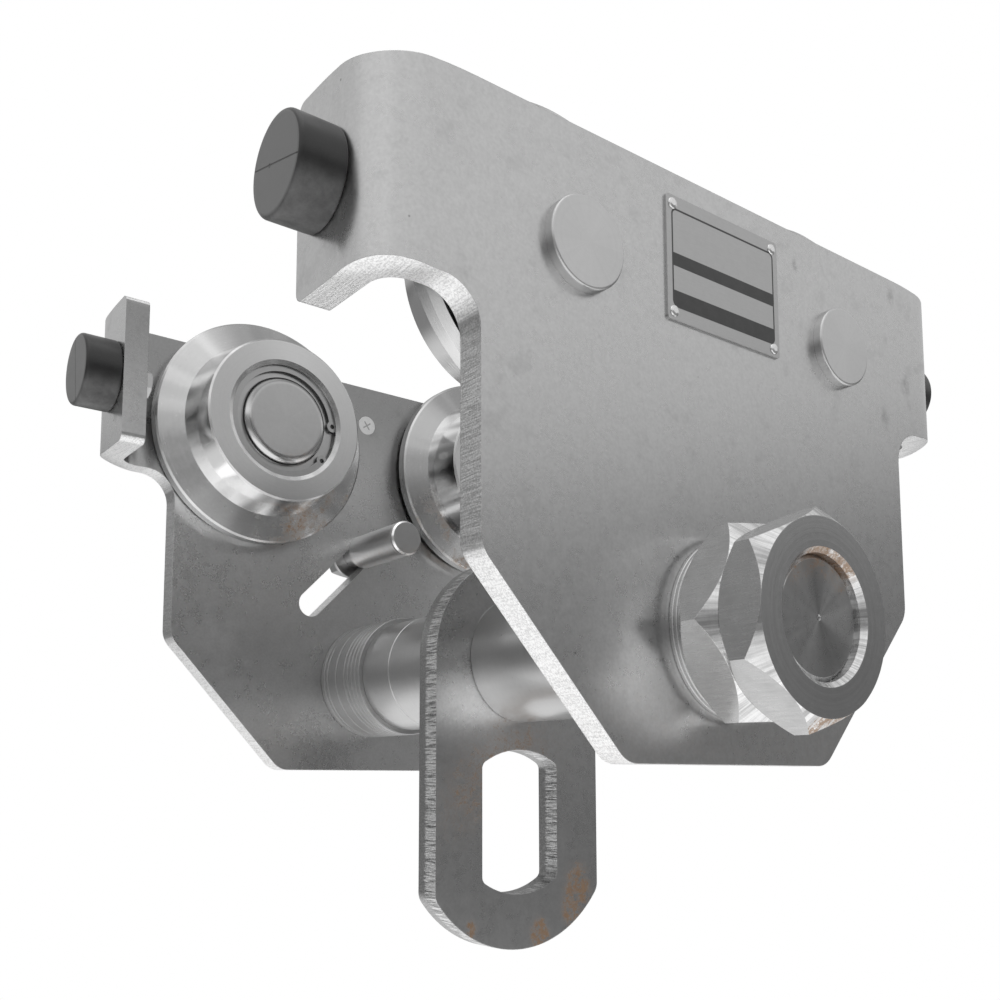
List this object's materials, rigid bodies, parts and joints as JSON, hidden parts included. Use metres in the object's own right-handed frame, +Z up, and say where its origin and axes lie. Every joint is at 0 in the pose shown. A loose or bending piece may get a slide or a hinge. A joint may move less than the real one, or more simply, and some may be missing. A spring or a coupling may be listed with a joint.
{
  "type": "manual beam trolley",
  "caption": "Push trolley that runs on the lower flange of an I-beam on flanged wheels between two side plates, with a load axle and a swinging slotted hanger plate for a hoist.",
  "frame": {"origin": "middle of the four places where the wheel treads stand on the beam's lower flange", "axes": "+X along the beam, +Y across the beam towards the side with the guide pin, +Z up"},
  "size_m": [0.3722, 0.3774, 0.3397],
  "materials": {
    "side_plate": "satin stainless steel plate with bright cut edges",
    "hanger_plate": "satin stainless steel plate, laser-cut edges, specks of rust",
    "axle": "faced and turned stainless steel",
    "nut": "bright machined stainless steel",
    "nut_washer": "bright stainless steel",
    "stack_washer": "turned stainless steel",
    "spacer": "satin stainless steel tube",
    "wheel": "bright turned stainless steel",
    "wheel_pin": "satin turned stainless steel",
    "bearing": "ground bearing steel",
    "ball_cage": "polished balls in a pressed steel cage",
    "circlip": "spring steel",
    "dust_cap": "pressed satin steel",
    "pin_spacer": "turned steel",
    "bumper": "dark grey moulded rubber with a parting line",
    "bolt": "stainless steel fastener",
    "guide_pin": "turned stainless steel",
    "nameplate": "satin metal plate with a thin frame line and two dark bands, bare of text",
    "rivet": "aluminium drive rivets",
    "plug": "stainless steel plug"
  },
  "bodies": {
    "frame": {"front_side_plate": "side_plate", "back_side_plate": "side_plate", "load_axle": "axle", "front_inner_nut": "nut", "front_lock_nut": "nut", "back_inner_nut": "nut", "back_lock_nut": "nut", "front_nut_washers": "nut_washer", "back_nut_washers": "nut_washer", "front_stack_washers": "stack_washer", "back_stack_washers": "stack_washer", "front_long_spacer": "spacer", "front_short_spacer": "spacer", "back_long_spacer": "spacer", "back_short_spacer": "spacer", "wheel_pin_front_left": "wheel_pin", "wheel_pin_front_right": "wheel_pin", "wheel_pin_back_left": "wheel_pin", "wheel_pin_back_right": "wheel_pin", "inner_ring_front_left": "bearing", "inner_ring_front_right": "bearing", "inner_ring_back_left": "bearing", "inner_ring_back_right": "bearing", "pin_circlips": "circlip", "pin_spacers": "pin_spacer", "bumper_front_left": "bumper", "bumper_front_right": "bumper", "bumper_back_left": "bumper", "bumper_back_right": "bumper", "bumper_bolts": "bolt", "bumper_washers": "bolt", "nameplate": "nameplate", "nameplate_rivets": "rivet", "hole_plug": "plug"},
    "wheel_assembly_front_left": {"wheel_front_left": "wheel", "outer_ring_front_left": "bearing", "circlip_front_left": "circlip", "dust_cap_front_left": "dust_cap"},
    "wheel_assembly_front_right": {"wheel_front_right": "wheel", "outer_ring_front_right": "bearing", "circlip_front_right": "circlip", "dust_cap_front_right": "dust_cap"},
    "wheel_assembly_back_left": {"wheel_back_left": "wheel", "outer_ring_back_left": "bearing", "circlip_back_left": "circlip", "dust_cap_back_left": "dust_cap"},
    "wheel_assembly_back_right": {"wheel_back_right": "wheel", "outer_ring_back_right": "bearing", "circlip_back_right": "circlip", "dust_cap_back_right": "dust_cap"},
    "bearing_cage_front_left": {"ball_cage_front_left": "ball_cage"},
    "bearing_cage_front_right": {"ball_cage_front_right": "ball_cage"},
    "bearing_cage_back_left": {"ball_cage_back_left": "ball_cage"},
    "bearing_cage_back_right": {"ball_cage_back_right": "ball_cage"},
    "hanger": {"hanger_plate": "hanger_plate"},
    "guide": {"guide_pin": "guide_pin", "guide_pin_washer": "bolt", "guide_pin_nut": "bolt"}
  },
  "joints": [
    {"name": "wheel_spin_front_left", "type": "hinge", "parent": "frame", "child": "wheel_assembly_front_left", "pos_m": [-0.0786, -0.10575, 0.0485], "axis": [0, 1, 0], "continuous": true},
    {"name": "wheel_spin_front_right", "type": "hinge", "parent": "frame", "child": "wheel_assembly_front_right", "pos_m": [0.0786, -0.10575, 0.0485], "axis": [0, 1, 0], "continuous": true},
    {"name": "wheel_spin_back_left", "type": "hinge", "parent": "frame", "child": "wheel_assembly_back_left", "pos_m": [-0.0786, 0.10575, 0.0485], "axis": [0, 1, 0], "continuous": true},
    {"name": "wheel_spin_back_right", "type": "hinge", "parent": "frame", "child": "wheel_assembly_back_right", "pos_m": [0.0786, 0.10575, 0.0485], "axis": [0, 1, 0], "continuous": true},
    {"name": "cage_spin_front_left", "type": "hinge", "parent": "frame", "child": "bearing_cage_front_left", "pos_m": [-0.0786, -0.10575, 0.0485], "axis": [0, 1, 0], "continuous": true},
    {"name": "cage_spin_front_right", "type": "hinge", "parent": "frame", "child": "bearing_cage_front_right", "pos_m": [0.0786, -0.10575, 0.0485], "axis": [0, 1, 0], "continuous": true},
    {"name": "cage_spin_back_left", "type": "hinge", "parent": "frame", "child": "bearing_cage_back_left", "pos_m": [-0.0786, 0.10575, 0.0485], "axis": [0, 1, 0], "continuous": true},
    {"name": "cage_spin_back_right", "type": "hinge", "parent": "frame", "child": "bearing_cage_back_right", "pos_m": [0.0786, 0.10575, 0.0485], "axis": [0, 1, 0], "continuous": true},
    {"name": "hanger_swing", "type": "hinge", "parent": "frame", "child": "hanger", "pos_m": [0, -0.004, -0.0876], "axis": [0, 1, 0], "range_deg": [-90, 90]},
    {"name": "guide_pin_slide", "type": "slide", "parent": "frame", "child": "guide", "axis": [0.7071, 0, 0.7071], "range_m": [-0.05, 0]}
  ],
  "couplings": [
    {"joint": "cage_spin_front_left", "follows": "wheel_spin_front_left", "ratio": 0.6033},
    {"joint": "cage_spin_front_right", "follows": "wheel_spin_front_right", "ratio": 0.6033},
    {"joint": "cage_spin_back_left", "follows": "wheel_spin_back_left", "ratio": 0.6033},
    {"joint": "cage_spin_back_right", "follows": "wheel_spin_back_right", "ratio": 0.6033}
  ]
}
